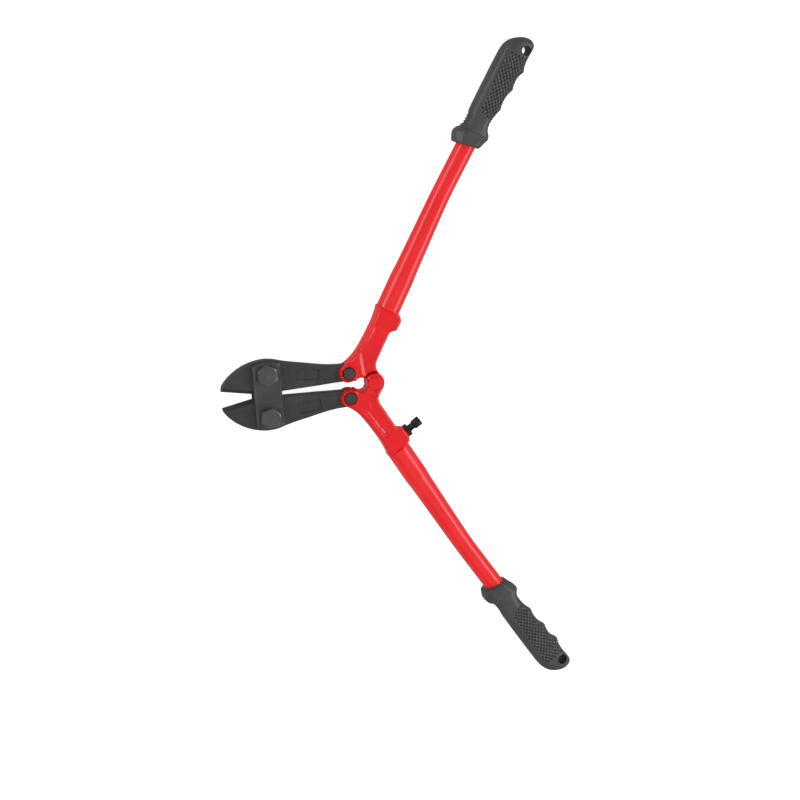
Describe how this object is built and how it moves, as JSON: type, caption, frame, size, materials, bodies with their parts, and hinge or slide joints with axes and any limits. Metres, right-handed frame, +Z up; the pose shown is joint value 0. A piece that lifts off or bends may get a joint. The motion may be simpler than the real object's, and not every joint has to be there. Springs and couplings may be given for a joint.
{
  "type": "bolt cutters",
  "caption": "18 inch bolt cutters, lying flat and half open: black forged jaws and strap plates, red yokes and tubular handles, black moulded grips.",
  "frame": {"origin": "centre of the footprint of the shown pose, at the lowest point of the jaw bolts' ends", "axes": "+X from the jaws to the grips along the tool's axis, +Y towards the upper handle, +Z up through the pins; the tool lies flat"},
  "size_m": [0.2938, 0.5624, 0.0333],
  "materials": {
    "jaw_steel": "satin black oxide",
    "strap_steel": "satin black oxide",
    "bolt_steel": "satin black oxide",
    "pin_steel": "satin",
    "spring_steel": "satin",
    "red_paint": "gloss",
    "grip_pvc": "satin moulded PVC"
  },
  "bodies": {
    "lower_handle": {"lower_yoke": "red_paint", "lower_tube": "red_paint", "lower_grip": "grip_pvc", "centre_pin": "red_paint", "lower_link_pin": "pin_steel", "stop_locknut": "bolt_steel"},
    "upper_handle": {"upper_yoke": "red_paint", "upper_tube": "red_paint", "upper_grip": "grip_pvc", "upper_link_pin": "pin_steel"},
    "upper_jaw": {"upper_jaw": "jaw_steel"},
    "lower_jaw": {"lower_jaw": "jaw_steel"},
    "strap": {"front_strap": "strap_steel", "rear_strap": "strap_steel", "upper_jaw_bolt": "bolt_steel", "lower_jaw_bolt": "bolt_steel", "upper_jaw_nut": "bolt_steel", "lower_jaw_nut": "bolt_steel", "upper_spring_washer": "spring_steel", "lower_spring_washer": "spring_steel"},
    "stop_bolt": {"stop_bolt": "bolt_steel"}
  },
  "joints": [
    {"name": "centre_pivot", "type": "hinge", "parent": "lower_handle", "child": "upper_handle", "pos_m": [-0.01469, 0, 0.01805], "axis": [0, 0, 1], "range_deg": [-104.86, 0]},
    {"name": "upper_link", "type": "hinge", "parent": "upper_handle", "child": "upper_jaw", "pos_m": [-0.03675, 0.0109, 0.01805], "axis": [0, 0, 1], "range_deg": [-0.5, 63.53]},
    {"name": "lower_link", "type": "hinge", "parent": "lower_handle", "child": "lower_jaw", "pos_m": [-0.03675, -0.0109, 0.01805], "axis": [0, 0, 1], "range_deg": [-63.53, 0.5]},
    {"name": "strap_pivot", "type": "hinge", "parent": "lower_jaw", "child": "strap", "pos_m": [-0.10794, -0.0185, 0.01805], "axis": [0, 0, 1], "range_deg": [-0.5, 11.1]},
    {"name": "stop_bolt_travel", "type": "slide", "parent": "lower_handle", "child": "stop_bolt", "axis": [0.8387, 0.5446, 0], "range_m": [-0.002, 0]}
  ],
  "couplings": [
    {"joint": "upper_link", "follows": "centre_pivot", "ratio": -0.60108},
    {"joint": "lower_link", "follows": "centre_pivot", "ratio": 0.60108},
    {"joint": "strap_pivot", "follows": "centre_pivot", "ratio": -0.10108}
  ]
}
